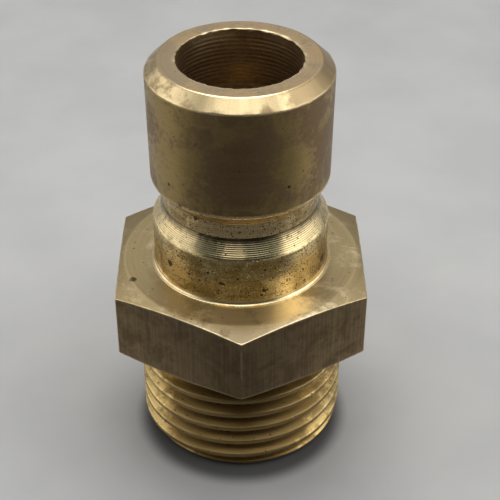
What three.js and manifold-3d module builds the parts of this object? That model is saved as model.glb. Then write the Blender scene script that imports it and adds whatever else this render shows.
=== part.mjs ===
// Quick-coupling plug (the male half) with a spring-loaded shut-off valve.
// Millimetres, +Z up. The origin is the centre of the thread's end face, and the plug's axis is Z.
// The hexagon has two corners on the Y axis and two flats square to the X axis.
import * as THREE from 'three';
import { mergeVertices } from 'three/addons/utils/BufferGeometryUtils.js';
import Module from 'manifold-3d';

const wasm = await Module();
wasm.setup();

// Heights of the body's outer steps, from the thread's end face up to the nose's mouth
const HEX_BOTTOM = 12.5;
const HEX_TOP = 20.0;
const COLLAR_TOP = 25.0;
const GROOVE_BOTTOM = 26.8;
const GROOVE_TOP = 28.5;
const NOSE_BOTTOM = 29.7;
const NOSE_TOP = 40.3;
const MOUTH = 41.4;

// Outer radii
const COLLAR_R = 8.5;
const GROOVE_R = 7.45;
const NOSE_BOTTOM_R = 8.53;
const NOSE_TOP_R = 8.65;
const FACE_R = 7.48;
const COLLAR_FILLET = 0.35;

// Hexagon: size across flats, and the shallow cones that cut its corners
const ACROSS_FLATS = 24.0;
const CHAMFER_START_R = 11.57;
const CHAMFER_SLOPE = 0.19;
const HEX_OVERLAP = 1.0;

// Pipe thread G 1/2: 14 threads per inch, 55 degree flanks, right-handed
const PITCH = 25.4 / 14;
const CREST_R = 10.34;
const ROOT_R = 9.316;
const FLANK_TAN = Math.tan(THREE.MathUtils.degToRad(27.5));
const THREAD_TOP = 11.6;
const SHANK_R = 10.36;
const THREAD_STEP = PITCH / 6;
const THREAD_PHASE = 1.56;

// Bore, valve seat and the chamber behind it
const BORE_R = 5.7;
const MOUTH_R = 5.8;
const MOUTH_DEPTH = 5.7;
const SEAT_TOP = 20.9;
const CHAMBER_R = 7.4;
const POCKET_TOP = 5.5;
const POCKET_R = 8.0;
const RING_GROOVE_R = 8.45;
const RING_GROOVE_BOTTOM = 1.7;
const RING_GROOVE_TOP = 3.1;
const EDGE_BREAK = 0.3;

// Moving valve, drawn closed
const PIN_TOP = 31.5;
const PIN_R = 1.6;
const FLANGE_R = 5.2;
const FLANGE_TOP = 21.8;
const FLANGE_BOTTOM = 20.95;
const FLANGE_RISE = 3.0;
const SEAL_R = 5.2;
const SEAL_SECTION_R = 1.0;
const HUB_R = 4.05;
const SPIGOT_R = 2.6;
const RETAINER_R = 6.0;
const RETAINER_TOP = 18.55;
const RETAINER_SEAT = 17.0;
const RETAINER_BOSS_R = 4.3;
const RETAINER_BOTTOM = 15.9;
const STEM_R = 1.5;
const STEM_COLLAR_R = 3.4;
const STEM_COLLAR_TOP = 15.6;
const STEM_COLLAR_BOTTOM = 14.9;
const STEM_TENON_R = 1.3;
const STEM_TENON_TOP = 19.3;
const STEM_END = 4.7;

// Guide, spring and retaining ring, which stay in the body
const GUIDE_BOTTOM = 3.3;
const GUIDE_TOP = 5.2;
const GUIDE_RIM_R = 7.8;
const GUIDE_WINDOW_R = 6.5;
const GUIDE_BOSS_R = 2.6;
const GUIDE_BOSS_TOP = 10.4;
const GUIDE_LEGS = 3;
const GUIDE_LEG_WIDTH = 2.2;
const SPRING_R = 5.1;
const WIRE_R = 0.45;
const SPRING_TURNS = 6.5;
const RING_R = 8.25;
const RING_WIDTH = 1.2;
const RING_THICKNESS = 1.0;
const RING_GAP_DEG = 36;
const LUG_DEPTH = 1.2;
const LUG_WIDTH = 1.9;
const LUG_HOLE_R = 0.5;

const REST_GAP = 0.2;
const SLIDE_GAP = 0.1;
const BODY_SEGMENTS = 48;
const SMALL_SEGMENTS = 24;
const ARC_SEGMENTS = 12;
const WIRE_SEGMENTS = 8;
const STEPS_PER_TURN = 16;

const material = (color, roughness, metalness) =>
  new THREE.MeshStandardMaterial({ color, roughness, metalness });
const BRASS = material(0xa5834a, 0.38, 1.0);
const TURNED_BRASS = material(0xc09a52, 0.28, 1.0);
const STAINLESS = material(0xb9b8b2, 0.25, 1.0);
const SPRING_STEEL = material(0x6f6c66, 0.35, 1.0);
const RUBBER = material(0x191918, 0.75, 0.0);

// Turns a profile of [radius, height] points, listed upwards on the outside, round the Z axis.
function turned(profile, segments) {
  const points = profile.map(([r, z]) => new THREE.Vector2(r, z));
  return new THREE.LatheGeometry(points, segments).rotateX(Math.PI / 2);
}

// A closed ring profile: the points are joined back to the first one.
function turnedRing(profile, segments) {
  return turned([...profile, profile[0]], segments);
}

// Welds a geometry's shared vertices and makes a manifold-3d solid of it.
function solidOf(geometry) {
  const bare = geometry.clone();
  bare.deleteAttribute('normal');
  bare.deleteAttribute('uv');
  const welded = mergeVertices(bare, 1e-4);
  const index = welded.index.array;
  const triangles = [];
  for (let i = 0; i < index.length; i += 3) {
    const [a, b, c] = [index[i], index[i + 1], index[i + 2]];
    if (a !== b && b !== c && c !== a) triangles.push(a, b, c);
  }
  const vertProperties = new Float32Array(welded.attributes.position.array);
  const triVerts = new Uint32Array(triangles);
  return new wasm.Manifold(new wasm.Mesh({ numProp: 3, vertProperties, triVerts }));
}

// Gives a solid's triangles back as a three.js geometry.
function geometryOf(solid) {
  const mesh = solid.getMesh();
  const geometry = new THREE.BufferGeometry();
  geometry.setAttribute('position', new THREE.BufferAttribute(mesh.vertProperties, 3));
  geometry.setIndex(new THREE.BufferAttribute(mesh.triVerts, 1));
  geometry.computeVertexNormals();
  return geometry;
}

// Radius of the thread's surface at a height and an angle: a crest, two flanks and a root per pitch.
function threadRadius(z, angle) {
  const turns = (z - THREAD_PHASE) / PITCH - angle / (2 * Math.PI);
  const fromRoot = Math.abs(turns - Math.round(turns)) * PITCH;
  const depth = CREST_R - ROOT_R;
  const flatHalf = (PITCH / 2 - depth * FLANK_TAN) / 2;
  const rise = Math.max(0, fromRoot - flatHalf) / FLANK_TAN;
  return ROOT_R + Math.min(depth, rise);
}

// Moves the shank's vertices in to the thread's surface, wherever the blank stands outside it.
function cutThread(geometry) {
  const position = geometry.attributes.position;
  for (let i = 0; i < position.count; i += 1) {
    const x = position.getX(i);
    const y = position.getY(i);
    const z = position.getZ(i);
    const r = Math.hypot(x, y);
    const onShank = r > ROOT_R && z > 0 && z <= THREAD_TOP;
    const scale = onShank ? Math.min(r, threadRadius(z, Math.atan2(y, x))) / r : 1;
    position.setXYZ(i, x * scale, y * scale, z);
  }
  return geometry;
}

// The body's turned shape: outside from the end face up to the mouth, then down the bore.
function bodyProfile() {
  const chamferTop = CREST_R - ROOT_R;
  const profile = [[ROOT_R, 0]];
  for (let z = THREAD_STEP; z < chamferTop; z += THREAD_STEP) profile.push([ROOT_R + z, z]);
  const steps = Math.round((THREAD_TOP - chamferTop) / THREAD_STEP);
  for (let i = 0; i <= steps; i += 1) {
    profile.push([CREST_R, chamferTop + ((THREAD_TOP - chamferTop) * i) / steps]);
  }
  profile.push([SHANK_R, THREAD_TOP + EDGE_BREAK], [SHANK_R, HEX_BOTTOM + HEX_OVERLAP]);
  const filletR = COLLAR_R + COLLAR_FILLET;
  profile.push([filletR, HEX_TOP - HEX_OVERLAP], [filletR, HEX_TOP]);
  profile.push([COLLAR_R, HEX_TOP + COLLAR_FILLET], [COLLAR_R, COLLAR_TOP]);
  profile.push([GROOVE_R, GROOVE_BOTTOM], [GROOVE_R, GROOVE_TOP]);
  profile.push([NOSE_BOTTOM_R, NOSE_BOTTOM], [NOSE_TOP_R, NOSE_TOP], [FACE_R, MOUTH]);
  const stepTop = MOUTH - MOUTH_DEPTH;
  const stepBottom = stepTop - (MOUTH_R - BORE_R);
  profile.push([MOUTH_R, MOUTH], [MOUTH_R, stepTop], [BORE_R, stepBottom], [BORE_R, SEAT_TOP]);
  profile.push([CHAMBER_R, SEAT_TOP - (CHAMBER_R - BORE_R)], [CHAMBER_R, POCKET_TOP]);
  profile.push([POCKET_R, POCKET_TOP], [POCKET_R, RING_GROOVE_TOP]);
  profile.push([RING_GROOVE_R, RING_GROOVE_TOP], [RING_GROOVE_R, RING_GROOVE_BOTTOM]);
  profile.push([POCKET_R, RING_GROOVE_BOTTOM], [POCKET_R, EDGE_BREAK], [POCKET_R + EDGE_BREAK, 0]);
  return profile;
}

// A regular polygon with its first corner on +Y.
function polygon(sides, radius) {
  const corners = [];
  for (let i = 0; i < sides; i += 1) {
    const angle = Math.PI / 2 + (2 * Math.PI * i) / sides;
    corners.push(new THREE.Vector2(radius * Math.cos(angle), radius * Math.sin(angle)));
  }
  return new THREE.Shape(corners);
}

// The hexagon as a ring round the shank, with its corners cut by a shallow cone above and below.
function hexagonSolid() {
  const cornerR = ACROSS_FLATS / Math.sqrt(3);
  const depth = HEX_TOP - HEX_BOTTOM;
  const prism = new THREE.ExtrudeGeometry(polygon(6, cornerR), { depth, bevelEnabled: false });
  prism.translate(0, 0, HEX_BOTTOM);
  const reach = cornerR + HEX_OVERLAP;
  const drop = (reach - CHAMFER_START_R) * CHAMFER_SLOPE;
  const cones = turnedRing(
    [
      [COLLAR_R, HEX_BOTTOM],
      [CHAMFER_START_R, HEX_BOTTOM],
      [reach, HEX_BOTTOM + drop],
      [reach, HEX_TOP - drop],
      [CHAMFER_START_R, HEX_TOP],
      [COLLAR_R, HEX_TOP],
    ],
    BODY_SEGMENTS,
  );
  return solidOf(prism).intersect(solidOf(cones));
}

function plugBody() {
  const blank = cutThread(turnedRing(bodyProfile(), BODY_SEGMENTS));
  return geometryOf(solidOf(blank).add(hexagonSolid()));
}

// Valve head: push pin, flange that runs in the bore, hub for the seal, hollow spigot for the stem.
function valvePoppet() {
  const holeR = STEM_TENON_R + SLIDE_GAP;
  const holeTop = STEM_TENON_TOP + REST_GAP;
  const hubBottom = RETAINER_TOP + REST_GAP;
  return turned(
    [
      [0, holeTop],
      [holeR, holeTop],
      [holeR, RETAINER_BOTTOM],
      [SPIGOT_R, RETAINER_BOTTOM],
      [SPIGOT_R, hubBottom],
      [HUB_R, hubBottom],
      [HUB_R, FLANGE_BOTTOM],
      [FLANGE_R, FLANGE_BOTTOM],
      [FLANGE_R, FLANGE_TOP],
      [(FLANGE_R + PIN_R) / 2, FLANGE_TOP + FLANGE_RISE / 4],
      [PIN_R, FLANGE_TOP + FLANGE_RISE],
      [PIN_R, PIN_TOP - EDGE_BREAK],
      [PIN_R - EDGE_BREAK, PIN_TOP],
      [0, PIN_TOP],
    ],
    SMALL_SEGMENTS,
  );
}

function valveSeal() {
  const middle = FLANGE_BOTTOM - REST_GAP - SEAL_SECTION_R;
  const section = polygon(ARC_SEGMENTS, SEAL_SECTION_R).getPoints();
  const profile = section.map((point) => [SEAL_R + point.x, middle + point.y]);
  return turnedRing(profile, SMALL_SEGMENTS);
}

// Washer under the seal, with a lower boss that centres the spring.
function sealRetainer() {
  const holeR = SPIGOT_R + SLIDE_GAP;
  return turnedRing(
    [
      [holeR, RETAINER_BOTTOM],
      [RETAINER_BOSS_R, RETAINER_BOTTOM],
      [RETAINER_BOSS_R, RETAINER_SEAT],
      [RETAINER_R, RETAINER_SEAT],
      [RETAINER_R, RETAINER_TOP - EDGE_BREAK],
      [RETAINER_R - EDGE_BREAK, RETAINER_TOP],
      [holeR, RETAINER_TOP],
    ],
    SMALL_SEGMENTS,
  );
}

function valveStem() {
  return turned(
    [
      [0, STEM_END],
      [STEM_R - EDGE_BREAK, STEM_END],
      [STEM_R, STEM_END + EDGE_BREAK],
      [STEM_R, STEM_COLLAR_BOTTOM],
      [STEM_COLLAR_R, STEM_COLLAR_BOTTOM],
      [STEM_COLLAR_R, STEM_COLLAR_TOP],
      [STEM_TENON_R, STEM_COLLAR_TOP],
      [STEM_TENON_R, STEM_TENON_TOP],
      [0, STEM_TENON_TOP],
    ],
    SMALL_SEGMENTS,
  );
}

// Centreline of the compression spring: one close turn at each end, even turns between them.
class SpringCurve extends THREE.Curve {
  getPoint(t, target = new THREE.Vector3()) {
    const low = GUIDE_TOP + REST_GAP + WIRE_R;
    const high = RETAINER_SEAT - REST_GAP - WIRE_R;
    const closeRise = 2 * WIRE_R + REST_GAP;
    const turn = t * SPRING_TURNS;
    const openTurns = SPRING_TURNS - 2;
    const openRise = high - low - 2 * closeRise;
    let z = low + closeRise + (openRise * (turn - 1)) / openTurns;
    if (turn < 1) z = low + closeRise * turn;
    if (turn > SPRING_TURNS - 1) z = high - closeRise * (SPRING_TURNS - turn);
    const angle = 2 * Math.PI * turn;
    return target.set(SPRING_R * Math.cos(angle), SPRING_R * Math.sin(angle), z);
  }
}

function valveSpring() {
  const steps = Math.round(SPRING_TURNS * STEPS_PER_TURN);
  const extrudePath = new SpringCurve();
  return new THREE.ExtrudeGeometry(polygon(WIRE_SEGMENTS, WIRE_R), { steps, extrudePath });
}

// One window of the guide: an annular sector between two legs.
function guideWindow(middleAngle) {
  const innerR = GUIDE_BOSS_R + REST_GAP;
  const halfOuter = Math.PI / GUIDE_LEGS - Math.asin(GUIDE_LEG_WIDTH / 2 / GUIDE_WINDOW_R);
  const halfInner = Math.PI / GUIDE_LEGS - Math.asin(GUIDE_LEG_WIDTH / 2 / innerR);
  const window = new THREE.Path();
  window.absarc(0, 0, GUIDE_WINDOW_R, middleAngle - halfOuter, middleAngle + halfOuter, false);
  window.absarc(0, 0, innerR, middleAngle + halfInner, middleAngle - halfInner, true);
  window.closePath();
  return window;
}

// Three-legged spider, with a long boss that guides the stem and stops it at full stroke.
function stemGuide() {
  const plate = new THREE.Shape();
  plate.absarc(0, 0, GUIDE_RIM_R, 0, 2 * Math.PI, false);
  for (let i = 0; i < GUIDE_LEGS; i += 1) {
    plate.holes.push(guideWindow(Math.PI / 2 + (2 * Math.PI * (i + 0.5)) / GUIDE_LEGS));
  }
  const holeR = STEM_R + SLIDE_GAP;
  const middleOfBoss = new THREE.Path();
  middleOfBoss.absarc(0, 0, (holeR + GUIDE_BOSS_R) / 2, 0, 2 * Math.PI, true);
  plate.holes.push(middleOfBoss);
  const depth = GUIDE_TOP - GUIDE_BOTTOM;
  const spider = new THREE.ExtrudeGeometry(plate, {
    depth,
    bevelEnabled: false,
    curveSegments: ARC_SEGMENTS,
  });
  spider.translate(0, 0, GUIDE_BOTTOM);
  const boss = turnedRing(
    [
      [holeR, GUIDE_BOTTOM],
      [GUIDE_BOSS_R, GUIDE_BOTTOM],
      [GUIDE_BOSS_R, GUIDE_BOSS_TOP - EDGE_BREAK],
      [GUIDE_BOSS_R - EDGE_BREAK, GUIDE_BOSS_TOP],
      [holeR, GUIDE_BOSS_TOP],
    ],
    SMALL_SEGMENTS,
  );
  return geometryOf(solidOf(spider).add(solidOf(boss)));
}

// Internal retaining ring: an open flat ring with a plier lug at each end.
function retainingRing() {
  const gap = THREE.MathUtils.degToRad(RING_GAP_DEG / 2);
  const start = -Math.PI / 2 + gap;
  const end = (3 * Math.PI) / 2 - gap;
  const innerR = RING_R - RING_WIDTH;
  const lugR = innerR - LUG_DEPTH;
  const lugSpan = LUG_WIDTH / innerR;
  const outline = new THREE.Shape();
  outline.absarc(0, 0, RING_R, start, end, false);
  outline.absarc(0, 0, lugR, end, end - lugSpan, true);
  outline.absarc(0, 0, innerR, end - lugSpan, start + lugSpan, true);
  outline.absarc(0, 0, lugR, start + lugSpan, start, true);
  outline.closePath();
  for (const angle of [start + lugSpan / 2, end - lugSpan / 2]) {
    const hole = new THREE.Path();
    const middleR = lugR + LUG_WIDTH / 2;
    const middle = [middleR * Math.cos(angle), middleR * Math.sin(angle)];
    hole.absarc(...middle, LUG_HOLE_R, 0, 2 * Math.PI, true);
    outline.holes.push(hole);
  }
  const ring = new THREE.ExtrudeGeometry(outline, {
    depth: RING_THICKNESS,
    bevelEnabled: false,
    curveSegments: ARC_SEGMENTS,
  });
  return ring.translate(0, 0, (RING_GROOVE_BOTTOM + RING_GROOVE_TOP - RING_THICKNESS) / 2);
}

const coupler = new THREE.Group();

function addPiece(parent, name, geometry, finish) {
  const piece = new THREE.Mesh(geometry, finish);
  piece.name = name;
  parent.add(piece);
}

addPiece(coupler, 'plug_body', plugBody(), BRASS);
addPiece(coupler, 'stem_guide', stemGuide(), TURNED_BRASS);
addPiece(coupler, 'retaining_ring', retainingRing(), SPRING_STEEL);
addPiece(coupler, 'valve_spring', valveSpring(), STAINLESS);

const valve = new THREE.Group();
addPiece(valve, 'valve_poppet', valvePoppet(), TURNED_BRASS);
addPiece(valve, 'valve_seal', valveSeal(), RUBBER);
addPiece(valve, 'seal_retainer', sealRetainer(), TURNED_BRASS);
addPiece(valve, 'valve_stem', valveStem(), STAINLESS);
coupler.add(valve);

export default coupler;
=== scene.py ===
import math

import bmesh
import bpy
import numpy as np
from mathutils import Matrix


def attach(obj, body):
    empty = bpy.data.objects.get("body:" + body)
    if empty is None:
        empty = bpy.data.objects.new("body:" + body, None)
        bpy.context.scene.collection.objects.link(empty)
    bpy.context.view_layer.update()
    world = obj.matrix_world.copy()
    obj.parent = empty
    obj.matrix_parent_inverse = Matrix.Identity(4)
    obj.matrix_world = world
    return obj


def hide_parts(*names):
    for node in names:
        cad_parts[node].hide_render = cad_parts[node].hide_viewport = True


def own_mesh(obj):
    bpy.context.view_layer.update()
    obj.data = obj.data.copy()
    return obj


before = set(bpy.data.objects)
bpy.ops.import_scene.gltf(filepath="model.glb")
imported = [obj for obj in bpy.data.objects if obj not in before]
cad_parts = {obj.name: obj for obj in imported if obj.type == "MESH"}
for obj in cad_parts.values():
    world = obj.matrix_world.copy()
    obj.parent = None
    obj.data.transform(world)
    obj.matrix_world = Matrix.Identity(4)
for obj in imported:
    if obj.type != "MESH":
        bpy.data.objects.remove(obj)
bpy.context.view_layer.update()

MM = 0.001
TURN = 2 * math.pi

# Body: heights and radii, as in the CAD
HEX_BOTTOM, HEX_TOP, COLLAR_TOP = 12.5, 20.0, 25.0
GROOVE_BOTTOM, GROOVE_TOP = 26.8, 28.5
NOSE_BOTTOM, NOSE_TOP, MOUTH = 29.7, 40.3, 41.4
COLLAR_R, GROOVE_R, COLLAR_FILLET = 8.5, 7.45, 0.35
NOSE_BOTTOM_R, NOSE_TOP_R, FACE_R = 8.53, 8.65, 7.48
HALF_FLATS, CHAMFER_START_R, CHAMFER_SLOPE = 12.0, 11.57, 0.19
PITCH, CREST_R, ROOT_R, PITCH_R = 25.4 / 14, 10.34, 9.316, 9.897
FLANK_SLOPE = 1 / math.tan(math.radians(27.5))
THREAD_TOP, THREAD_PHASE, SHANK_R = 11.6, 1.56, 10.36
BORE_R, MOUTH_R, MOUTH_DEPTH = 5.7, 5.8, 5.7
SEAT_TOP, CHAMBER_R, POCKET_TOP, POCKET_R = 20.9, 7.4, 5.5, 8.0
RING_GROOVE_R, RING_GROOVE_BOTTOM, RING_GROOVE_TOP = 8.45, 1.7, 3.1

# What only the fine mesh has: tool marks, worn edges and where its columns stand
BORING_PITCH, BORING_DEPTH, BORING_END = 0.41, 0.03, 33.1
TURNING_PITCH = 0.19
SECTORS = 192
CORNER_STEPS = (0.16, 0.32, 0.48)
UPRIGHT_EDGE_R = 0.2
EDGE_WEAR = 0.06


# ---------------------------------------------------------------- mesh helpers

def wobble(angle, waves, seed):
    """A closed wobble round the axis, about -1 to 1, made of the given numbers of waves."""
    rng = np.random.default_rng(seed)
    total = np.zeros_like(angle)
    for n in waves:
        total += rng.normal() * np.sin(n * angle + rng.uniform(0, TURN))
    return total / math.sqrt(len(waves))


def link_mesh(name, vertices, faces, zones=None, wear_and_sheen=None):
    """A welded, closed, smooth mesh object from points in millimetres."""
    mesh = bpy.data.meshes.new(name)
    mesh.from_pydata((np.asarray(vertices) * MM).tolist(), [], faces)
    if zones is not None:
        mesh.polygons.foreach_set("material_index", np.asarray(zones, np.int32))
    if wear_and_sheen is not None:
        layer = mesh.attributes.new("wear_and_sheen", "FLOAT", "POINT")
        layer.data.foreach_set("value", np.asarray(wear_and_sheen, np.float32))
    bm = bmesh.new()
    bm.from_mesh(mesh)
    bmesh.ops.remove_doubles(bm, verts=bm.verts, dist=1e-7)
    bmesh.ops.dissolve_degenerate(bm, edges=bm.edges, dist=1e-7)
    bmesh.ops.recalc_face_normals(bm, faces=bm.faces)
    bm.to_mesh(mesh)
    bm.free()
    mesh.shade_smooth()
    piece = bpy.data.objects.new(name, mesh)
    bpy.context.scene.collection.objects.link(piece)
    return piece


def soften(profile, radius, closed=True, steps=3):
    """Rounds each corner of a [radius, height] outline by a small arc, except points on the axis."""
    points = [np.array(p, float) for p in profile]
    count = len(points)
    out = []
    for i, here in enumerate(points):
        if not closed and i in (0, count - 1) or here[0] < 1e-9:
            out.append(here)
            continue
        before, after = points[i - 1], points[(i + 1) % count]
        a, b = before - here, after - here
        la, lb = np.linalg.norm(a), np.linalg.norm(b)
        cut = min(radius, 0.45 * la, 0.45 * lb)
        start, end = here + a / la * cut, here + b / lb * cut
        for t in np.linspace(0, 1, steps + 1):
            out.append((1 - t) ** 2 * start + 2 * t * (1 - t) * here + t ** 2 * end)
    return out


def split_long(profile, longest, closed=True):
    """Adds points along a profile's long straight runs, with one close to each end."""
    count = len(profile)
    out = []
    for i in range(count if closed else count - 1):
        a, b = np.array(profile[i]), np.array(profile[(i + 1) % count])
        length = np.linalg.norm(b - a)
        out.append(a)
        if length > 0.3:
            inner = np.linspace(0.06 / length, 1 - 0.06 / length, 2 + int(length / longest))
            out += [a + (b - a) * t for t in inner]
    if not closed:
        out.append(np.array(profile[-1]))
    return out


def lathe(name, profile, sectors, round_r=0.08, closed=True):
    """A turned piece: softened edges, even rows, welded where it meets the axis."""
    rows = split_long(soften(profile, round_r, closed), 1.5, closed)
    angle = np.arange(sectors) * TURN / sectors
    vertices = [(r * math.cos(a), r * math.sin(a), z) for r, z in rows for a in angle]
    faces = []
    for i in range(len(rows) if closed else len(rows) - 1):
        k = (i + 1) % len(rows)
        for j in range(sectors):
            m = (j + 1) % sectors
            faces.append((i * sectors + j, i * sectors + m, k * sectors + m, k * sectors + j))
    return link_mesh(name, vertices, faces)


# ---------------------------------------------------------------- plug body

ZONES = [
    "thread", "hex_face", "fillet", "hex_side", "collar", "flank",
    "groove", "nose", "lead_in", "face", "bore", "inside",
]


def column_angles():
    even = np.arange(SECTORS) * 360.0 / SECTORS
    corners = 30.0 + 60.0 * np.arange(6)
    extra = [c + s * e for c in corners for e in CORNER_STEPS for s in (-1, 1)]
    return np.radians(np.sort(np.concatenate([even, extra])))


def thread_radius(z, angle):
    """Whitworth form: rounded root, 55 degree flanks, crest turned down to the blank; 45 degree end."""
    turns = (z - THREAD_PHASE) / PITCH - angle / TURN
    from_root = np.abs(turns - np.round(turns)) * PITCH
    flank = PITCH_R + (from_root - PITCH / 4) * FLANK_SLOPE
    k = 0.22
    h = np.clip(k - np.abs(flank - ROOT_R), 0, None) / k
    rooted = np.maximum(flank, ROOT_R) + h * h * k / 4 - 0.01
    k = 0.12
    h = np.clip(k - np.abs(rooted - CREST_R), 0, None) / k
    return np.minimum(rooted, CREST_R) - h * h * k / 4


def thread_rows(angle):
    """Rows that follow the helix, clamped to level rings at both ends."""
    half = [0, 0.08, 0.16, 0.25, 0.36, 0.48, 0.60, 0.67, 0.72, 0.79]
    offsets = np.array(half + [PITCH / 2] + [PITCH - u for u in half[:0:-1]])
    starts = np.concatenate([THREAD_PHASE + PITCH * n + offsets for n in range(-3, 8)])
    starts = starts[(starts > -PITCH - 0.2) & (starts < THREAD_TOP + 0.2)]
    rows = []
    dents = 0.012 * wobble(angle, range(9, 60, 5), 3)
    for start in starts:
        z = np.clip(start + PITCH * angle / TURN, 0, THREAD_TOP)
        r = thread_radius(z, angle)
        crest = np.clip((r - 10.1) / 0.2, 0, 1)
        r = r - crest * np.abs(dents) * (1 + 0.6 * np.sin(7 * z + 3 * angle))
        r = np.minimum(r, ROOT_R + z * 0.96 + 0.05 * np.sin(3 * angle) * np.clip(z, 0, 0.2))
        rows.append(("thread", r, z, 0.06 * crest))
    return rows, len(offsets)


def hexagon_radius(angle):
    """Distance from the axis to the hexagon's sides, its six upright edges slightly rounded."""
    from_flat = np.radians((np.degrees(angle) + 30.0) % 60.0 - 30.0)
    flat = HALF_FLATS / np.cos(from_flat)
    off = math.pi / 6 - np.abs(from_flat)
    middle = (HALF_FLATS - UPRIGHT_EDGE_R) / math.cos(math.pi / 6)
    under = np.clip(UPRIGHT_EDGE_R ** 2 - (middle * np.sin(off)) ** 2, 0, None)
    rounded = middle * np.cos(off) + np.sqrt(under)
    return np.where(flat * np.sin(off) < UPRIGHT_EDGE_R / 2, np.minimum(rounded, flat), flat)


def hexagon_rows(angle):
    """From the underside's inner edge, round the sides, to the top's inner edge."""
    side = hexagon_radius(angle)
    drop = CHAMFER_SLOPE * (side - CHAMFER_START_R)
    worn = EDGE_WEAR * (1 + 0.35 * wobble(angle, range(11, 90, 9), 5))
    corner = 0.4 * np.clip((side - 13.79) / 0.03, 0, 1)
    low, high = HEX_BOTTOM + drop, HEX_TOP - drop

    def out_to_side(t):
        return CHAMFER_START_R + (side - CHAMFER_START_R) * t

    rows = [("hex_face", r, HEX_BOTTOM, 0) for r in (10.8, 11.2, CHAMFER_START_R - 0.05)]
    rows += [("hex_face", out_to_side(t), HEX_BOTTOM + drop * t, 0) for t in (0.1, 0.5)]
    rows.append(("hex_face", side - 2.2 * worn, low - 2.2 * worn * CHAMFER_SLOPE, 0))
    rows.append(("hex_face", side - worn, low - worn * CHAMFER_SLOPE, 0.3))
    rows.append(("hex_side", side - 0.28 * worn, low + 0.22 * worn, 0.6))
    rows.append(("hex_side", side, low + worn, 0.2 + corner))
    for t in (0.03, 0.12, 0.3, 0.5, 0.7, 0.88, 0.97):
        rows.append(("hex_side", side, low + worn + (high - low - 2 * worn) * t, corner))
    rows.append(("hex_side", side, high - worn, 0.2 + corner))
    rows.append(("hex_face", side - 0.28 * worn, high - 0.22 * worn, 0.8))
    rows.append(("hex_face", side - worn, high + worn * CHAMFER_SLOPE, 0.4))
    rows.append(("hex_face", side - 2.2 * worn, high + 2.2 * worn * CHAMFER_SLOPE, 0))
    rows += [("hex_face", out_to_side(t), HEX_TOP - drop * t, 0) for t in (0.5, 0.1)]
    rows.append(("hex_face", CHAMFER_START_R - 0.05, HEX_TOP - 0.002, 0.08))
    rows += [("hex_face", r, HEX_TOP - 0.004, 0) for r in (11.3, 10.6, 9.8, 9.2, 8.93)]
    return rows


def marked(zone, start, end, pitch, depth, per_mark, angle, lead=0.0, ridge=0.0, bow=0.0):
    """A run of the profile, hollowed by bow, with turning marks cut square to it.

    per_mark is the rows to a mark, lead 1 makes them a helix, and ridge paints a highlight on the lines
    between.
    """
    start, end = np.array(start), np.array(end)
    along = end - start
    length = np.linalg.norm(along)
    across = np.array([along[1], -along[0]]) / length
    count = int(round(length / pitch * per_mark))
    rows = []
    for i in range(count + 1):
        share = i / count
        phase = share * length / pitch + lead * angle / TURN
        cut = depth * (np.abs(np.sin(math.pi * phase)) ** 0.8 - 0.6)
        hollow = bow * math.sin(math.pi * share)
        fade = min(1.0, 6 * share, 6 * (1 - share))
        point = start + along * share
        # A painted highlight on the ridges between the marks
        bright = ridge * (1 - np.abs(np.sin(math.pi * phase))) * fade
        off = cut * fade - hollow
        rows.append((zone, point[0] + across[0] * off, point[1] + across[1] * off, bright))
    return rows


def arc_rows(zone, middle, radius, first, last, steps, wear_and_sheen=0):
    """Rows along a circular arc of the profile, angles in degrees from the radial direction."""
    spans = np.radians(np.linspace(first, last, steps + 1))
    return [(zone, middle[0] + radius * math.cos(a), middle[1] + radius * math.sin(a), wear_and_sheen) for a in spans]


def upper_rows(angle):
    """Collar fillet, collar, groove and nose, up to the mouth."""
    f = COLLAR_FILLET
    rows = arc_rows("fillet", (COLLAR_R + f, HEX_TOP + f), f, 270, 180, 6)
    rows += [("collar", COLLAR_R, z, 0) for z in (20.45, 21.2, 22.4, 23.6, 24.6)]
    rows.append(("collar", COLLAR_R, COLLAR_TOP - 0.1, 0.2))
    rows.append(("collar", COLLAR_R - 0.02, COLLAR_TOP - 0.02, 0.6))
    foot, head = (COLLAR_R - 0.07, COLLAR_TOP + 0.07), (GROOVE_R + 0.04, GROOVE_BOTTOM - 0.08)
    # The flank's turning marks, with a painted highlight on their ridges
    rows += marked("flank", foot, head, TURNING_PITCH, 0.04, 5, angle, 0.0, 0.5, 0.06)
    levels = (GROOVE_BOTTOM + 0.05, 27.2, 27.8, 28.3, GROOVE_TOP - 0.05)
    rows += [("groove", GROOVE_R, z, 0) for z in levels]
    rows.append(("groove", GROOVE_R + 0.06, GROOVE_TOP + 0.03, 0))
    rows.append(("groove", GROOVE_R + 0.5, GROOVE_TOP + 0.53, 0))
    lip = 0.32
    rows += arc_rows("groove", (NOSE_BOTTOM_R - lip, NOSE_BOTTOM + 0.12), lip, -48, 0, 5, 0.25)
    slant = (NOSE_TOP_R - NOSE_BOTTOM_R) / (NOSE_TOP - NOSE_BOTTOM)
    for z in (30.0, 31.0, 32.5, 34.0, 35.5, 37.0, 38.5, 39.6, 40.15):
        rows.append(("nose", NOSE_BOTTOM_R + slant * (z - NOSE_BOTTOM), z, 0))
    edge = 0.025 * wobble(angle, range(13, 80, 6), 8)
    rows.append(("nose", NOSE_TOP_R - 0.005, NOSE_TOP - 0.07 + edge, 0.3))
    rows.append(("lead_in", NOSE_TOP_R - 0.045, NOSE_TOP + 0.03 + edge, 0.5))
    chatter = 0.004 * wobble(angle, range(60, 96, 5), 9)
    for t in (0.1, 0.3, 0.5, 0.7, 0.9):
        r = NOSE_TOP_R + (FACE_R - NOSE_TOP_R) * t
        rows.append(("lead_in", r + chatter, NOSE_TOP + (MOUTH - NOSE_TOP) * t, 0))
    rows.append(("lead_in", FACE_R + 0.05, MOUTH - 0.045, 0.15))
    rows.append(("face", FACE_R - 0.05, MOUTH - 0.004, 0.15))
    rows += [("face", r, MOUTH, 0) for r in (7.3, 6.9, 6.5, 6.2)]
    return rows


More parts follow.
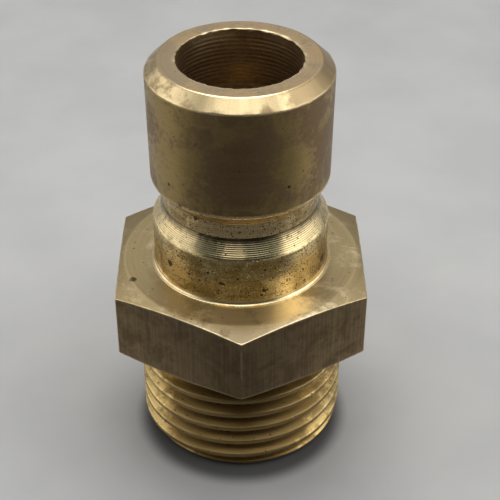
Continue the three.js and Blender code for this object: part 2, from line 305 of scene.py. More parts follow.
def bore_rows(angle):
    """From the mouth's worn lip, partly a painted highlight, down the bore, then on through the chamber to
    the end face.
    """
    ragged = 0.04 * wobble(angle, range(5, 70, 4), 12)
    # The rim steps outwards at the back and comes in again over the next 75 degrees
    after_notch = (angle - math.radians(92)) % TURN
    step = 0.11 * np.clip(1 - after_notch / math.radians(75), 0, 1)
    lip = MOUTH_R + step + ragged
    # It is worn most at the front, and again behind on the right; this is partly wear and partly a painted
    # highlight
    front = 1 + np.cos(angle - math.radians(268))
    right = 1 + np.cos(angle - math.radians(50))
    worn = 0.15 + 0.22 * front ** 2 + 0.03 * right ** 4 + 0.3 * wobble(angle, range(3, 40, 3), 14)
    worn = np.clip(worn, 0.05, 1)
    size = 0.3 + 1.1 * worn
    rows = [
        ("face", lip + 0.14 * size, MOUTH - 0.002 * size, 0.4 * worn),
        ("face", lip + 0.06 * size, MOUTH - 0.015 * size, worn),
        ("bore", lip + 0.01 * size, MOUTH - 0.06 * size, worn),
        ("bore", lip - 0.01 * size, MOUTH - 0.16 * size, 0.3 * worn),
    ]
    bottom = MOUTH - MOUTH_DEPTH
    upper = (MOUTH_R, MOUTH - 0.25), (MOUTH_R, bottom + 0.08)
    lower = (BORE_R + 0.02, bottom - 0.15), (BORE_R + 0.02, BORING_END)
    rings = marked("bore", *upper, BORING_PITCH, BORING_DEPTH, 6, angle, 1.0)
    for i, (zone, r, z, wear_and_sheen) in enumerate(rings):
        rows.append((zone, r + step * max(0.0, 1 - i / 12), z, wear_and_sheen))
    rows += marked("bore", *lower, BORING_PITCH, BORING_DEPTH, 6, angle, 1.0)
    rows += [("inside", BORE_R, z, 0) for z in (BORING_END - 0.1, 31.0, 27.0, 23.5, SEAT_TOP + 0.08)]
    return rows + chamber_rows()


def chamber_rows():
    """The valve seat, the chamber, the guide's pocket, the ring groove and the end face's inner edge."""
    seat_bottom = SEAT_TOP - (CHAMBER_R - BORE_R)
    rows = [
        ("inside", BORE_R + 0.05, SEAT_TOP - 0.05, 0),
        ("inside", 6.5, SEAT_TOP - 0.8, 0),
        ("inside", CHAMBER_R - 0.05, seat_bottom + 0.05, 0),
        ("inside", CHAMBER_R, seat_bottom - 0.1, 0),
    ]
    rows += [("inside", CHAMBER_R, z, 0) for z in (16.0, 12.0, 8.0, POCKET_TOP + 0.08)]
    rows.append(("inside", CHAMBER_R + 0.04, POCKET_TOP, 0))
    rows.append(("inside", POCKET_R - 0.05, POCKET_TOP, 0))
    rows += [("inside", POCKET_R, z, 0) for z in (POCKET_TOP - 0.05, 4.3, RING_GROOVE_TOP + 0.05)]
    rows.append(("inside", POCKET_R + 0.03, RING_GROOVE_TOP, 0.3))
    rows.append(("inside", RING_GROOVE_R - 0.03, RING_GROOVE_TOP, 0))
    rows.append(("inside", RING_GROOVE_R, RING_GROOVE_TOP - 0.03, 0))
    rows.append(("inside", RING_GROOVE_R, RING_GROOVE_BOTTOM + 0.03, 0))
    rows.append(("inside", RING_GROOVE_R - 0.03, RING_GROOVE_BOTTOM, 0))
    rows.append(("inside", POCKET_R + 0.03, RING_GROOVE_BOTTOM, 0.3))
    rows += [("inside", POCKET_R, z, 0) for z in (RING_GROOVE_BOTTOM - 0.05, 0.9, 0.4)]
    rows.append(("thread", POCKET_R + 0.07, 0.22, 0.3))
    rows.append(("thread", POCKET_R + 0.26, 0.02, 0.5))
    rows += [("thread", r, 0.0, 0) for r in (POCKET_R + 0.34, 8.8, 9.2)]
    return rows


def plug_body():
    """Rings of points from the thread up the outside and down the bore, closed into a tube.

    The thread's rows climb one pitch in a turn, so the last column joins rows one pitch further on.
    """
    angle = column_angles()
    columns = len(angle)
    helical, per_pitch = thread_rows(angle)
    rows = helical + [
        ("thread", SHANK_R - 0.03, THREAD_TOP + 0.25, 0),
        ("thread", SHANK_R, THREAD_TOP + 0.35, 0),
        ("thread", SHANK_R, HEX_BOTTOM - 0.06, 0),
        ("hex_face", SHANK_R + 0.04, HEX_BOTTOM, 0),
    ]
    rows += hexagon_rows(angle) + upper_rows(angle) + bore_rows(angle)
    flat = np.ones(columns)
    radius = np.array([r * flat for _, r, _, _ in rows])
    height = np.array([z * flat for _, _, z, _ in rows])
    wear_and_sheen = np.array([w * flat for _, _, _, w in rows])
    vertices = np.stack([radius * np.cos(angle), radius * np.sin(angle), height], -1).reshape(-1, 3)
    faces, zones = [], []
    last_helical = len(helical) - 1
    for i, (zone, _, _, _) in enumerate(rows):
        k = (i + 1) % len(rows)
        index = ZONES.index(zone)
        for j in range(columns - 1):
            faces.append((i * columns + j, i * columns + j + 1, k * columns + j + 1, k * columns + j))
            zones.append(index)
        a, b = i, k
        if i < last_helical:
            a, b = min(i + per_pitch, last_helical), min(k + per_pitch, last_helical)
        faces.append((i * columns + columns - 1, a * columns, b * columns, k * columns + columns - 1))
        zones.append(index)
    return link_mesh("plug_body_fine", vertices, faces, zones, wear_and_sheen.ravel())


# ---------------------------------------------------------------- valve, spring, guide and ring

def poppet():
    """Blind hole and spigot, the seal's groove, the valve head and the push pin."""
    profile = [
        (0, 19.5), (1.4, 19.5), (1.4, 15.9), (2.6, 15.9), (2.6, 18.75),
        (4.05, 18.75), (4.05, 20.95), (5.2, 20.95), (5.2, 21.8),
        (3.4, 22.55), (1.6, 24.8), (1.6, 31.2), (1.3, 31.5), (0, 31.5),
    ]
    return lathe("valve_poppet_fine", profile, 96, 0.1, closed=False)


def o_ring():
    ring_r, cord_r, height, steps = 5.2, 1.0, 19.75, 40
    turns = np.arange(steps) * TURN / steps
    section = [(ring_r + cord_r * math.cos(a), height + cord_r * math.sin(a)) for a in turns]
    return lathe("valve_seal_fine", section, 128, 0.0001)


def retainer():
    """Washer under the seal, with a step that centres the spring."""
    profile = [(2.7, 15.9), (4.3, 15.9), (4.3, 17.0), (6.0, 17.0), (6.0, 18.25), (5.7, 18.55), (2.7, 18.55)]
    return lathe("seal_retainer_fine", profile, 112, 0.12)


def stem():
    """Guide stem with its clamping collar and the spigot that enters the poppet."""
    profile = [
        (0, 4.7), (1.2, 4.7), (1.5, 5.0), (1.5, 14.9),
        (3.4, 14.9), (3.4, 15.6), (1.3, 15.6), (1.3, 19.3), (0, 19.3),
    ]
    return lathe("valve_stem_fine", profile, 80, 0.08, closed=False)


SPRING_R, WIRE_R, SPRING_TURNS, SPRING_LOW, SPRING_HIGH = 5.1, 0.45, 6.5, 5.4, 16.8


def spring():
    """Wire swept along the helix, with one close turn and a tapered tip at each end."""
    low, high, close = SPRING_LOW + WIRE_R, SPRING_HIGH - WIRE_R, 2 * WIRE_R + 0.2
    open_turns = SPRING_TURNS - 2
    steps = 312
    turn = np.linspace(0, SPRING_TURNS, steps + 1)
    z = low + close + (high - low - 2 * close) * (turn - 1) / open_turns
    z = np.where(turn < 1, low + close * turn, z)
    z = np.where(turn > SPRING_TURNS - 1, high - close * (SPRING_TURNS - turn), z)
    angle = TURN * turn
    out = np.stack([np.cos(angle), np.sin(angle), np.zeros_like(angle)], -1)
    middle = out * SPRING_R + np.stack([0 * z, 0 * z, z], -1)
    along = np.gradient(middle, axis=0)
    along /= np.linalg.norm(along, axis=1)[:, None]
    up = np.cross(along, out)
    sides = 18
    step = np.arange(steps + 1)
    tip = np.clip(np.minimum(step, steps - step) / 2.0, 0, 1)
    thick = WIRE_R * np.sqrt(np.clip(1 - (1 - tip) ** 2 * 0.45, 0, 1))
    vertices, faces = [], []
    for i in range(len(turn)):
        for k in range(sides):
            a = TURN * k / sides
            vertices.append(middle[i] + thick[i] * (math.cos(a) * out[i] + math.sin(a) * up[i]))
    for i in range(len(turn) - 1):
        for k in range(sides):
            m = (k + 1) % sides
            faces.append((i * sides + k, i * sides + m, (i + 1) * sides + m, (i + 1) * sides + k))
    faces.append(tuple(range(sides))[::-1])
    faces.append(tuple((len(turn) - 1) * sides + k for k in range(sides)))
    return link_mesh("valve_spring_fine", vertices, faces)


def stamped(name, loops, low, high, bevel):
    """A flat piece with rounded edges: the first loop is its outline, the others are holes."""
    curve = bpy.data.curves.new(name, "CURVE")
    curve.dimensions = "2D"
    curve.fill_mode = "BOTH"
    curve.extrude = ((high - low) / 2 - bevel) * MM
    curve.bevel_depth = bevel * MM
    curve.bevel_resolution = 3
    curve.offset = -bevel * MM
    for loop in loops:
        line = curve.splines.new("POLY")
        line.points.add(len(loop) - 1)
        line.use_cyclic_u = True
        for point, (x, y) in zip(line.points, loop):
            point.co = (x * MM, y * MM, 0, 1)
    holder = bpy.data.objects.new(name, curve)
    bpy.context.scene.collection.objects.link(holder)
    bpy.context.view_layer.update()
    graph = bpy.context.evaluated_depsgraph_get()
    mesh = bpy.data.meshes.new_from_object(holder.evaluated_get(graph))
    bpy.data.objects.remove(holder)
    points = np.array([v.co for v in mesh.vertices], float) / MM
    points[:, 2] += (low + high) / 2
    faces = [tuple(p.vertices) for p in mesh.polygons]
    return points, faces


def circle(x, y, r, steps, first=0.0, last=TURN):
    """Points along a circle or, with a first and last angle, along its arc."""
    spans = np.linspace(first, last, steps, endpoint=abs(last - first) < TURN - 1e-6)
    return [(x + r * math.cos(a), y + r * math.sin(a)) for a in spans]


def stem_guide():
    """Plate with three windows, and the boss that the stem runs in."""
    plate_r, hub_hole_r, plate_low, plate_high = 7.8, 2.1, 3.3, 5.2
    boss_in, boss_out, boss_top = 1.6, 2.6, 10.4
    inner, outer, leg = 2.8, 6.5, 2.2
    loops = [circle(0, 0, plate_r, 144)]
    for i in range(3):
        middle = math.pi / 2 + TURN * (i + 0.5) / 3
        wide = math.pi / 3 - math.asin(leg / 2 / outer)
        narrow = math.pi / 3 - math.asin(leg / 2 / inner)
        window = circle(0, 0, outer, 30, middle - wide, middle + wide)
        window += circle(0, 0, inner, 16, middle + narrow, middle - narrow)
        loops.append(window[::-1])
    loops.append(circle(0, 0, hub_hole_r, 48)[::-1])
    points, faces = stamped("guide_plate", loops, plate_low, plate_high, 0.14)
    profile = [
        (boss_in, plate_low), (boss_out, plate_low), (boss_out, boss_top - 0.3),
        (boss_out - 0.3, boss_top), (boss_in, boss_top),
    ]
    boss = split_long(soften(profile, 0.1), 1.5)
    base, sectors = len(points), 72
    angle = np.arange(sectors) * TURN / sectors
    tube = np.array([(r * math.cos(a), r * math.sin(a), z) for r, z in boss for a in angle])
    for i in range(len(boss)):
        k = (i + 1) % len(boss)
        for j in range(sectors):
            m = (j + 1) % sectors
            corners = (i * sectors + j, i * sectors + m, k * sectors + m, k * sectors + j)
            faces.append(tuple(base + n for n in corners))
    piece = link_mesh("stem_guide_fine", np.vstack([points, tube]), faces)
    piece.data.set_sharp_from_angle(angle=math.radians(50))
    return piece


def retaining_ring():
    """Open ring with two lugs, each with a hole for the pliers."""
    ring_r, width, lug, lug_width, hole_r = 8.25, 1.2, 1.2, 1.9, 0.5
    low, high = 1.9, 2.9
    gap = math.radians(18)
    start, end = -math.pi / 2 + gap, 3 * math.pi / 2 - gap
    inner = ring_r - width
    span = lug_width / inner
    outline = circle(0, 0, ring_r, 130, start, end)
    outline += circle(0, 0, inner - lug, 8, end, end - span)
    outline += circle(0, 0, inner, 110, end - span, start + span)
    outline += circle(0, 0, inner - lug, 8, start + span, start)
    loops = [outline]
    for a in (start + span / 2, end - span / 2):
        r = inner - lug + lug_width / 2
        loops.append(circle(r * math.cos(a), r * math.sin(a), hole_r, 28)[::-1])
    points, faces = stamped("ring_plate", loops, low, high, 0.08)
    piece = link_mesh("retaining_ring_fine", points, faces)
    piece.data.set_sharp_from_angle(angle=math.radians(50))
    return piece


# ---------------------------------------------------------------- materials

class Graph:
    """Adds shader nodes from short calls; an input is a number, a colour or another node's output."""

    def __init__(self, owner):
        owner.use_nodes = True
        self.tree = owner.node_tree
        self.tree.nodes.clear()

    def node(self, kind, inputs=None, out=0, **settings):
        made = self.tree.nodes.new("ShaderNode" + kind)
        for key, value in settings.items():
            setattr(made, key, value)
        for key, value in (inputs or {}).items():
            if isinstance(value, bpy.types.NodeSocket):
                self.tree.links.new(value, made.inputs[key])
            else:
                made.inputs[key].default_value = value
        return made.outputs[out] if len(made.outputs) else made

    def math(self, operation, *values):
        return self.node("Math", dict(enumerate(values)), operation=operation)

    def vector(self, operation, *values, out=0):
        return self.node("VectorMath", dict(enumerate(values)), out, operation=operation)

    def ramp(self, value, low, high, first=0.0, last=1.0):
        inputs = dict(enumerate((value, low, high, first, last)))
        return self.node("MapRange", inputs, interpolation_type="SMOOTHSTEP")

    def mix(self, share, a, b):
        return self.node("Mix", {0: share, 6: a, 7: b}, 2, data_type="RGBA")

    def noise(self, at, scale, detail=4.0, roughness=0.55, distortion=0.0):
        inputs = {"Vector": at, "Scale": scale, "Detail": detail, "Roughness": roughness}
        inputs["Distortion"] = distortion
        return self.node("TexNoise", inputs)

    def shifted(self, value, noise, amount):
        """The value with a noise about 0.5 added to it, that amount strong."""
        return self.math("ADD", value, self.math("MULTIPLY", self.math("SUBTRACT", noise, 0.5), amount))

    def spots(self, at, scale, size, share):
        """Ragged spots up to that many mm across, in that share of a cell pattern's cells."""
        cells = self.tree.nodes.new("ShaderNodeTexVoronoi")
        cells.inputs["Scale"].default_value = scale
        bent = self.node("TexNoise", {"Vector": at, "Scale": scale * 2.5, "Detail": 2.0}, 1)
        moved = self.vector("MULTIPLY_ADD", bent, (0.45 / scale,) * 3, at)
        self.tree.links.new(moved, cells.inputs["Vector"])
        chance = self.node("SeparateColor", {0: cells.outputs["Color"]})
        reach = self.ramp(chance, share, 0.0, 0.0, size * scale)
        return self.ramp(self.math("SUBTRACT", cells.outputs["Distance"], reach), 0.04, -0.1)

    def finish(self, material_inputs, height, depth_mm):
        """Principled shader with a bump of that depth."""
        if height is not None:
            bump = self.node("Bump", {"Height": height, "Distance": depth_mm * MM, "Strength": 1.0})
            material_inputs["Normal"] = bump
        shader = self.node("BsdfPrincipled", material_inputs)
        self.node("OutputMaterial", {"Surface": shader})


def colour(r, g, b):
    return (r, g, b, 1.0)


CLEAN = colour(0.80, 0.60, 0.30)
GOLD = colour(0.62, 0.43, 0.17)
BROWN = colour(0.19, 0.125, 0.062)
GREYED = colour(0.42, 0.345, 0.235)
PIT_AND_SHADE_BLACK = colour(0.035, 0.022, 0.012)
DARK_LINE = colour(0.07, 0.05, 0.03)
WORN_AND_SHEEN = colour(0.92, 0.76, 0.47)


def mm_place(g):
    """Object coordinates in millimetres, their distance from the axis and height."""
    at = g.vector("MULTIPLY", g.node("TexCoord", out="Object"), (1 / MM,) * 3)
    flat = g.vector("MULTIPLY", at, (1, 1, 0))
    radius = g.vector("LENGTH", flat, out=1)
    height = g.node("SeparateXYZ", {0: at}, 2)
    return at, radius, height


def on_body(where, z, r):
    """The point at that angle in degrees, height and radius."""
    return (r * math.cos(math.radians(where)), r * math.sin(math.radians(where)), z)


def grain(g, at, radius, kind):
    """Coordinates stretched along the tool's path: rings, upright lines, circles on a face, or spokes."""
    if kind == "rings":
        return g.vector("MULTIPLY", at, (0.02, 0.02, 1))
    if kind == "upright":
        return g.vector("MULTIPLY", at, (1, 1, 0.02))
    if kind == "spokes":
        flat = g.vector("MULTIPLY", at, (1, 1, 0))
        return g.vector("SCALE", g.vector("NORMALIZE", flat), (8.0,) * 3)
    bent = g.vector("MULTIPLY", at, (0.02, 0.02, 0.02))
    return g.vector("ADD", bent, g.node("CombineXYZ", {0: radius}))


def brass(name, base=GOLD, stain=BROWN, cloud=0.35, low=0.4, high=0.62, depth=1.0, ragged=0.35,
          patches=(), kind="rings", lines=2.5, line_tone=0.25, line_bump=0.5, pits=0.0, pit_scale=2.2,
          speckle=0.15, holes_at=(), cavity_shade=None, shaded_below=None, rough=(0.28, 0.42), bump=0.006):
    """Turned or drawn brass: stains in clouds, tool lines, pits, worn edges, painted highlights and painted
    shade.

    cloud is the stain's scale per mm, low to high its edge, depth its strength and ragged its fringe.
    A patch is (angle in degrees, height, radius, spread, amount): lighter if amount is above 0, darker
    below it; a few patches are painted highlights and painted shade. holes_at lists single pits,
    (angle, height, radius, size). cavity is (darkest up to this radius, unshaded from this one, strength),
    painted shade in the hollows, and shaded_below the height under which the bottom end is darkened, also
    painted shade.
    """
    material = bpy.data.materials.new(name)
    g = Graph(material)
    at, radius, height = mm_place(g)
    wide = g.noise(at, cloud, 6.0, 0.62, 0.6)
    fine = g.noise(at, 2.1, 5.0, 0.6)
    small = g.noise(at, 9.0, 3.0, 0.7)
    stain_and_painted_light = g.shifted(wide, fine, ragged)
    # Patches lighten or darken the stain; a few of them are painted highlights and painted shade
    for where, z, r, spread, amount in patches:
        away = g.math("DIVIDE", g.vector("DISTANCE", at, on_body(where, z, r), out=1), spread)
        edge = g.shifted(away, fine, 1.6 * ragged)
        stain_and_painted_light = g.math("SUBTRACT", stain_and_painted_light, g.ramp(edge, 1.2, 0.3, 0.0, amount))
    mask = g.math("MULTIPLY", g.ramp(stain_and_painted_light, low, high), depth)
    streak = g.noise(grain(g, at, radius, kind), lines, 5.0, 0.65)
    tone = g.mix(mask, base, stain)
    tone = g.mix(g.math("MULTIPLY", g.ramp(streak, 0.42, 0.66), line_tone), tone, DARK_LINE)
    tone = g.mix(g.math("MULTIPLY", g.ramp(streak, 0.5, 0.3), line_tone * 0.6), tone, GREYED)
    tone = g.mix(g.math("MULTIPLY", g.ramp(small, 0.52, 0.66), speckle), tone, PIT_AND_SHADE_BLACK)
    # Painted shade: darker in the hollows, towards the given radius
    if cavity_shade is not None:
        shade_full_r, shade_none_r, strength = cavity_shade
        deep = g.shifted(radius, fine, 0.5)
        tone = g.mix(g.ramp(deep, shade_none_r, shade_full_r, 0.0, strength), tone, PIT_AND_SHADE_BLACK)
    # Painted shade: darker towards the bottom end
    if shaded_below is not None:
        tone = g.mix(g.ramp(height, shaded_below, 0.2, 0.0, 0.75), tone, PIT_AND_SHADE_BLACK)
    surface = g.math("ADD", g.math("MULTIPLY", streak, line_bump), g.math("MULTIPLY", small, 0.35))
    if pits:
        many = g.spots(at, pit_scale, 0.10, pits)
        large = g.spots(at, pit_scale * 0.3, 0.28, pits * 0.3)
        holes = g.math("MAXIMUM", many, large)
        tone = g.mix(g.math("MULTIPLY", holes, 0.85), tone, PIT_AND_SHADE_BLACK)
        surface = g.math("SUBTRACT", surface, g.math("MULTIPLY", holes, 2.0))
    for where, z, r, size in holes_at:
        away = g.math("DIVIDE", g.vector("DISTANCE", at, on_body(where, z, r), out=1), size)
        hole = g.ramp(g.shifted(away, small, 1.4), 1.1, 0.6)
        tone = g.mix(g.math("MULTIPLY", hole, 0.9), tone, PIT_AND_SHADE_BLACK)
        surface = g.math("SUBTRACT", surface, g.math("MULTIPLY", hole, 2.5))
    # Worn bare edges, plus the painted highlight on the flank's ridges and, in part, on the mouth's rim
    wear_and_sheen = g.node("Attribute", out="Fac", attribute_name="wear_and_sheen")
    bare_and_sheen = g.math("MULTIPLY", wear_and_sheen, g.ramp(wide, 0.38, 0.56, 0.3, 1.0))
    tone = g.mix(g.math("MINIMUM", bare_and_sheen, 1.0), tone, WORN_AND_SHEEN)
    dulled = g.math("ADD", g.math("MULTIPLY", mask, 0.6), g.math("MULTIPLY", fine, 0.4))
    shine = g.ramp(dulled, 0.1, 0.9, *rough)
    g.finish({"Base Color": tone, "Metallic": 1.0, "Roughness": shine}, surface, bump)
    return material


# How each zone of the body looks
FINISHES = {
    "thread": dict(
        base=colour(0.68, 0.49, 0.19), stain=colour(0.28, 0.185, 0.065),
        cloud=0.4,
        kind="rings", lines=3.0,
        # The darkened roots and the darkened bottom end are painted shade
        pits=0.5, pit_scale=2.4, cavity_shade=(9.3, 9.5, 0.9), shaded_below=0.9,
        rough=(0.26, 0.4), bump=0.018,
        # The darker patch at the front (268 degrees) is a painted dark reflection
        patches=[(268, 6, 10, 8.5, -0.4), (215, 6, 10, 5, 0.06)],
    ),
    "hex_face": dict(
        base=colour(0.79, 0.66, 0.43), stain=colour(0.30, 0.232, 0.12),
        cloud=0.4, low=0.05, high=0.5, ragged=0.25,
        kind="circles", lines=2.4, line_tone=0.12, line_bump=0.6,
        pits=0.4, pit_scale=1.8, speckle=0.25,
        rough=(0.34, 0.42), bump=0.004,
        holes_at=[(203, 20, 11.3, 0.4)],
        patches=[
            (270, 20, 10.4, 5.5, 0.4), (298, 20, 10.6, 3.6, 0.3), (262, 20, 13, 3, 0.2),
            (263, 19.8, 12.6, 1.0, -0.25), (254, 20, 11.3, 0.8, -0.2),
            (277, 20, 11.2, 0.7, -0.2),
        ],
    ),
    "fillet": dict(
        base=WORN_AND_SHEEN, stain=CLEAN,
        cloud=0.6,
        kind="rings", line_tone=0.05,
        rough=(0.14, 0.22), bump=0.003,
    ),
    "hex_side": dict(
        base=colour(0.30, 0.215, 0.115), stain=colour(0.15, 0.095, 0.048),
        cloud=0.4, low=0.35, high=0.65, depth=0.75,
        kind="upright", lines=6.0, line_tone=0.3, line_bump=1.0,
        pits=0.25, pit_scale=1.2,
        rough=(0.34, 0.46), bump=0.014,
    ),
    "collar": dict(
        base=colour(1.0, 0.77, 0.38), stain=colour(0.46, 0.32, 0.10),
        cloud=0.35, low=0.32, high=0.6,
        kind="rings",
        pits=1.0, pit_scale=4.4, speckle=0.8,
        rough=(0.2, 0.33), bump=0.014,
        holes_at=[
            (218, 22.5, 8.5, 0.42), (337, 21.7, 8.5, 0.5), (257, 22.4, 8.5, 0.22),
            (283, 21.0, 8.5, 0.18), (268, 23.0, 8.5, 0.16),
        ],
        # The lighter patch at the right front (312 degrees) is partly clean brass and partly a painted
        # highlight
        patches=[(312, 22.5, 8.5, 3.0, 0.45), (222, 22.3, 8.5, 2.2, 0.22)],
    ),
    "flank": dict(
        base=colour(0.83, 0.65, 0.34), stain=colour(0.27, 0.24, 0.12),
        cloud=0.4, low=0.45, high=0.7,
        kind="circles", lines=5.0, line_tone=0.3,
        # Darkened next to the groove: painted shade
        pits=0.6, pit_scale=3.0, cavity_shade=(7.5, 7.85, 0.75),
        rough=(0.17, 0.24), bump=0.006,
        # The two darker patches either side of the front are painted dark reflections between the
        # highlights
        patches=[(249, 26, 8, 1.7, -0.35), (286, 26, 8, 2.4, -0.35), (267, 26, 8, 1.3, 0.15)],
    ),
    "groove": dict(
        base=colour(0.88, 0.67, 0.35), stain=colour(0.44, 0.32, 0.13),
        cloud=0.5, low=0.3,
        pits=0.5, pit_scale=5.0, speckle=1.0,
        rough=(0.3, 0.42), bump=0.016,
        patches=[(272, 27.6, 7.5, 5, 0.35)],
    ),
    "nose": dict(
        base=colour(0.40, 0.29, 0.115), stain=colour(0.235, 0.155, 0.085),
        cloud=0.35, low=0.34, high=0.62, depth=0.88, ragged=0.5,
        kind="rings", lines=2.6, line_tone=0.08, line_bump=0.3,
        pits=0.3, pit_scale=1.6, speckle=0.3,
        rough=(0.36, 0.48), bump=0.008,
        holes_at=[(300, 32.4, 8.6, 0.22), (221, 31.6, 8.6, 0.2)],
        # The darker patch facing the front (272 degrees) is partly tarnish and partly a painted dark
        # reflection
        patches=[
            (231, 35, 8.6, 4.2, 0.16), (303, 34.3, 8.6, 3.2, 0.2), (272, 35.5, 8.6, 4.6, -0.2),
            (345, 34, 8.6, 4, -0.15), (318, 38.5, 8.6, 2.4, -0.12), (212, 39.5, 8.6, 2.2, 0.2),
        ],
    ),
    "lead_in": dict(
        base=colour(0.86, 0.68, 0.38), stain=colour(0.42, 0.31, 0.165),
        cloud=0.5, low=0.2, high=0.56, ragged=0.5,
        kind="spokes", lines=6.0, line_tone=0.14, line_bump=0.5,
        rough=(0.26, 0.36), bump=0.006,
        patches=[
            (262, 41, 8, 8.5, 0.35), (325, 41, 8, 4, -0.5), (350, 41, 8, 5, -0.4),
            (285, 40.2, 8.7, 1.1, -0.3), (240, 40.2, 8.7, 1.1, -0.3),
        ],
    ),
    "face": dict(
        base=colour(0.62, 0.45, 0.25), stain=colour(0.38, 0.29, 0.18),
        cloud=0.5,
        kind="circles", lines=3.0, line_tone=0.12,
        pits=0.3, pit_scale=1.8,
        rough=(0.32, 0.42), bump=0.005,
        patches=[(190, 41.4, 6.9, 4.5, -0.4)],
    ),
    "bore": dict(
        base=colour(0.6, 0.45, 0.26), stain=colour(0.4, 0.29, 0.17),
        cloud=0.5,
        kind="rings", lines=2.4, line_tone=0.3,
        rough=(0.34, 0.46), bump=0.01,
    ),
    "inside": dict(
        base=GOLD, stain=BROWN,
        cloud=0.4,
        kind="rings",
        rough=(0.3, 0.42), bump=0.008,
    ),
}


def body_materials():
    """One material for each zone of the body, in the order of ZONES."""
    return [brass(f"brass_{zone}", **FINISHES[zone]) for zone in ZONES]


def steel(name, bright, dull, rough, scale):
    """Drawn steel: cloudy from bright to dull, with dark lines across the axis."""
    material = bpy.data.materials.new(name)
    g = Graph(material)
    at = mm_place(g)[0]
    cloud = g.noise(at, scale, 5.0, 0.6)
    drawn = g.noise(g.vector("MULTIPLY", at, (1.0, 1.0, 6.0)), 3.0, 3.0, 0.6)
    tone = g.mix(g.ramp(cloud, 0.35, 0.65), bright, dull)
    tone = g.mix(g.ramp(drawn, 0.55, 0.75, 0.0, 0.35), tone, colour(0.08, 0.075, 0.07))
    shine = g.ramp(cloud, 0.3, 0.7, *rough)
    g.finish({"Base Color": tone, "Metallic": 1.0, "Roughness": shine}, drawn, 0.004)
    return material


def rubber(name):
    """Black rubber with a grey bloom."""
    material = bpy.data.materials.new(name)
    g = Graph(material)
    at = mm_place(g)[0]
    bloom = g.noise(at, 1.2, 5.0, 0.6)
    pores = g.noise(at, 14.0, 3.0, 0.6)
    tone = g.mix(g.ramp(bloom, 0.4, 0.7), colour(0.012, 0.012, 0.012), colour(0.045, 0.043, 0.04))
    shine = g.ramp(bloom, 0.3, 0.7, 0.5, 0.68)
    g.finish({"Base Color": tone, "Metallic": 0.0, "Roughness": shine}, pores, 0.006)
    return material


# ---------------------------------------------------------------- studio

def floor_disc():
    """A wide pale floor that a low view still ends on, with painted shade: a painted contact shadow where
    the part stands and a painted fall-off far away.
    """
    rings = [0.0, 0.05, 0.1, 0.2, 0.4, 0.8, 1.6, 3.0]
    sectors = 96
    vertices, faces = [], []
    for r in rings:
        for j in range(sectors):
            a = TURN * j / sectors
            vertices.append((r * math.cos(a) / MM, r * math.sin(a) / MM, 0.0))
    for i in range(len(rings) - 1):
        for j in range(sectors):
            m = (j + 1) % sectors
            faces.append((i * sectors + j, i * sectors + m, (i + 1) * sectors + m, (i + 1) * sectors + j))
    floor = link_mesh("floor", vertices, faces)
    material = bpy.data.materials.new("pale_floor")
    g = Graph(material)
    at = g.node("TexCoord", out="Object")
    mottle = g.noise(at, 70.0, 4.0, 0.5)
    tone = g.mix(g.ramp(mottle, 0.3, 0.7), colour(0.388, 0.388, 0.386), colour(0.425, 0.425, 0.421))
    # Metres from the foot, all painted shade: a slow fall-off far away, a soft shadow round the part and
    # the dark contact shadow where it stands
    near = g.vector("DISTANCE", at, (0.0, -0.0012, 0.0), out=1)
    tone = g.mix(g.ramp(near, 0.045, 0.11, 0.0, 0.09), tone, colour(0.06, 0.06, 0.06))
    tone = g.mix(g.ramp(near, 0.034, 0.011, 0.0, 0.12), tone, colour(0.06, 0.06, 0.06))
    tone = g.mix(g.ramp(near, 0.0116, 0.0096, 0.0, 0.85), tone, colour(0.04, 0.04, 0.04))
    g.finish({"Base Color": tone, "Roughness": 0.75, "Specular IOR Level": 0.25}, None, 0)
    floor.data.materials.append(material)
    return floor


def dark_card():
    """A dark flag in front of the object, seen only in the metal's reflections: it throws no shadow."""
    side = [
        (-17, 0.6), (-140, 0.6), (-140, 30), (-80, 120),
        (-84, 123), (-145, 32), (-145, 0.2), (-17, 0.2),
    ]
    vertices = [(x, y, z) for x in (-90, 90) for y, z in side]
    n = len(side)
    faces = [tuple(range(n)), tuple(range(n, 2 * n))[::-1]]
    faces += [(i, i + n, (i + 1) % n + n, (i + 1) % n) for i in range(n)]
    card = link_mesh("dark_card", vertices, faces)
    material = bpy.data.materials.new("dark_card")
    g = Graph(material)
    g.finish({"Base Color": colour(0.10, 0.10, 0.10), "Roughness": 0.9}, None, 0)
    card.data.materials.append(material)
    for rays in ("camera", "diffuse", "shadow", "transmission"):
        setattr(card, "visible_" + rays, False)
    return card


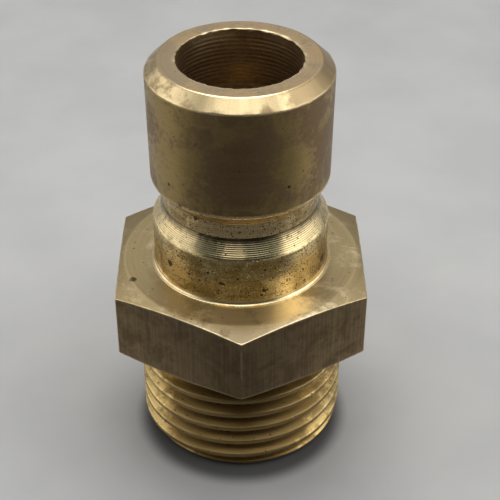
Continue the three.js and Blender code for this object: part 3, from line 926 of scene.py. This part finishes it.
def studio_world():
    """Soft light from all round, with brighter patches and a dim one low in front.

    The patches are high in front, two on the right, one on the left and the brightest high behind.
    """
    world = bpy.data.worlds.new("studio")
    bpy.context.scene.world = world
    g = Graph(world)
    look = g.vector("NORMALIZE", g.node("TexCoord", out="Generated"))

    def lobe(azimuth, elevation, inner, outer, amount):
        """A soft round patch of light, full to inner degrees from its middle and gone at outer."""
        a, e = math.radians(azimuth), math.radians(elevation)
        towards = (math.sin(a) * math.cos(e), -math.cos(a) * math.cos(e), math.sin(e))
        facing = g.vector("DOT_PRODUCT", look, towards, out=1)
        return g.ramp(facing, math.cos(math.radians(outer)), math.cos(math.radians(inner)), 0.0, amount)

    light = g.math("ADD", 0.38, lobe(0, 60, 10, 32, 1.5))
    light = g.math("ADD", light, lobe(84, 24, 12, 46, 1.25))
    light = g.math("ADD", light, lobe(80, 42, 6, 20, 0.6))
    light = g.math("ADD", light, lobe(-95, 16, 12, 46, 0.9))
    light = g.math("ADD", light, lobe(180, 70, 10, 30, 4.0))
    light = g.math("MULTIPLY", light, g.math("SUBTRACT", 1.0, lobe(0, 12, 25, 62, 0.85)))
    background = g.node("Background", {"Color": colour(1.0, 0.995, 0.98), "Strength": light})
    g.node("OutputWorld", {"Surface": background})
    bpy.context.scene.view_settings.view_transform = "Standard"
    bpy.context.scene.view_settings.look = "None"


def camera():
    """88 mm lens, 36 degrees above the horizon, facing the front upright edge of the hexagon."""
    data = bpy.data.cameras.new("camera")
    data.lens, data.sensor_width = 88.0, 36.0
    data.clip_start, data.clip_end = 0.01, 20.0
    holder = bpy.data.objects.new("camera", data)
    turn = math.radians(-0.506)
    x, y, z = 0.905, -98.43, 91.07
    holder.location = (
        (x * math.cos(turn) - y * math.sin(turn)) * MM,
        (x * math.sin(turn) + y * math.cos(turn)) * MM,
        z * MM,
    )
    holder.rotation_euler = (math.radians(54.257), 0, turn)
    bpy.context.scene.collection.objects.link(holder)
    bpy.context.scene.camera = holder


# ---------------------------------------------------------------- assembly

def place(piece, node, body, materials):
    for material in materials:
        piece.data.materials.append(material)
    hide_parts(node)
    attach(piece, body)
    return piece


turned_brass = brass(
    "turned_brass", base=CLEAN, stain=GOLD, cloud=0.4,
    kind="rings", lines=4.0, line_tone=0.15, rough=(0.2, 0.32), bump=0.004,
)
stainless = steel("stainless", colour(0.62, 0.61, 0.58), colour(0.5, 0.49, 0.46), (0.2, 0.32), 0.5)
phosphated = steel(
    "phosphated_steel", colour(0.14, 0.135, 0.13), colour(0.09, 0.087, 0.083), (0.38, 0.5), 0.8
)

place(plug_body(), "plug_body", "plug", body_materials())
place(stem_guide(), "stem_guide", "plug", [turned_brass])
place(retaining_ring(), "retaining_ring", "plug", [phosphated])
place(poppet(), "valve_poppet", "valve", [turned_brass])
place(o_ring(), "valve_seal", "valve", [rubber("nitrile")])
place(retainer(), "seal_retainer", "valve", [turned_brass])
place(stem(), "valve_stem", "valve", [stainless])
coil = place(spring(), "valve_spring", "plug", [stainless])
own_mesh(coil)

floor_disc()
dark_card()
studio_world()
camera()
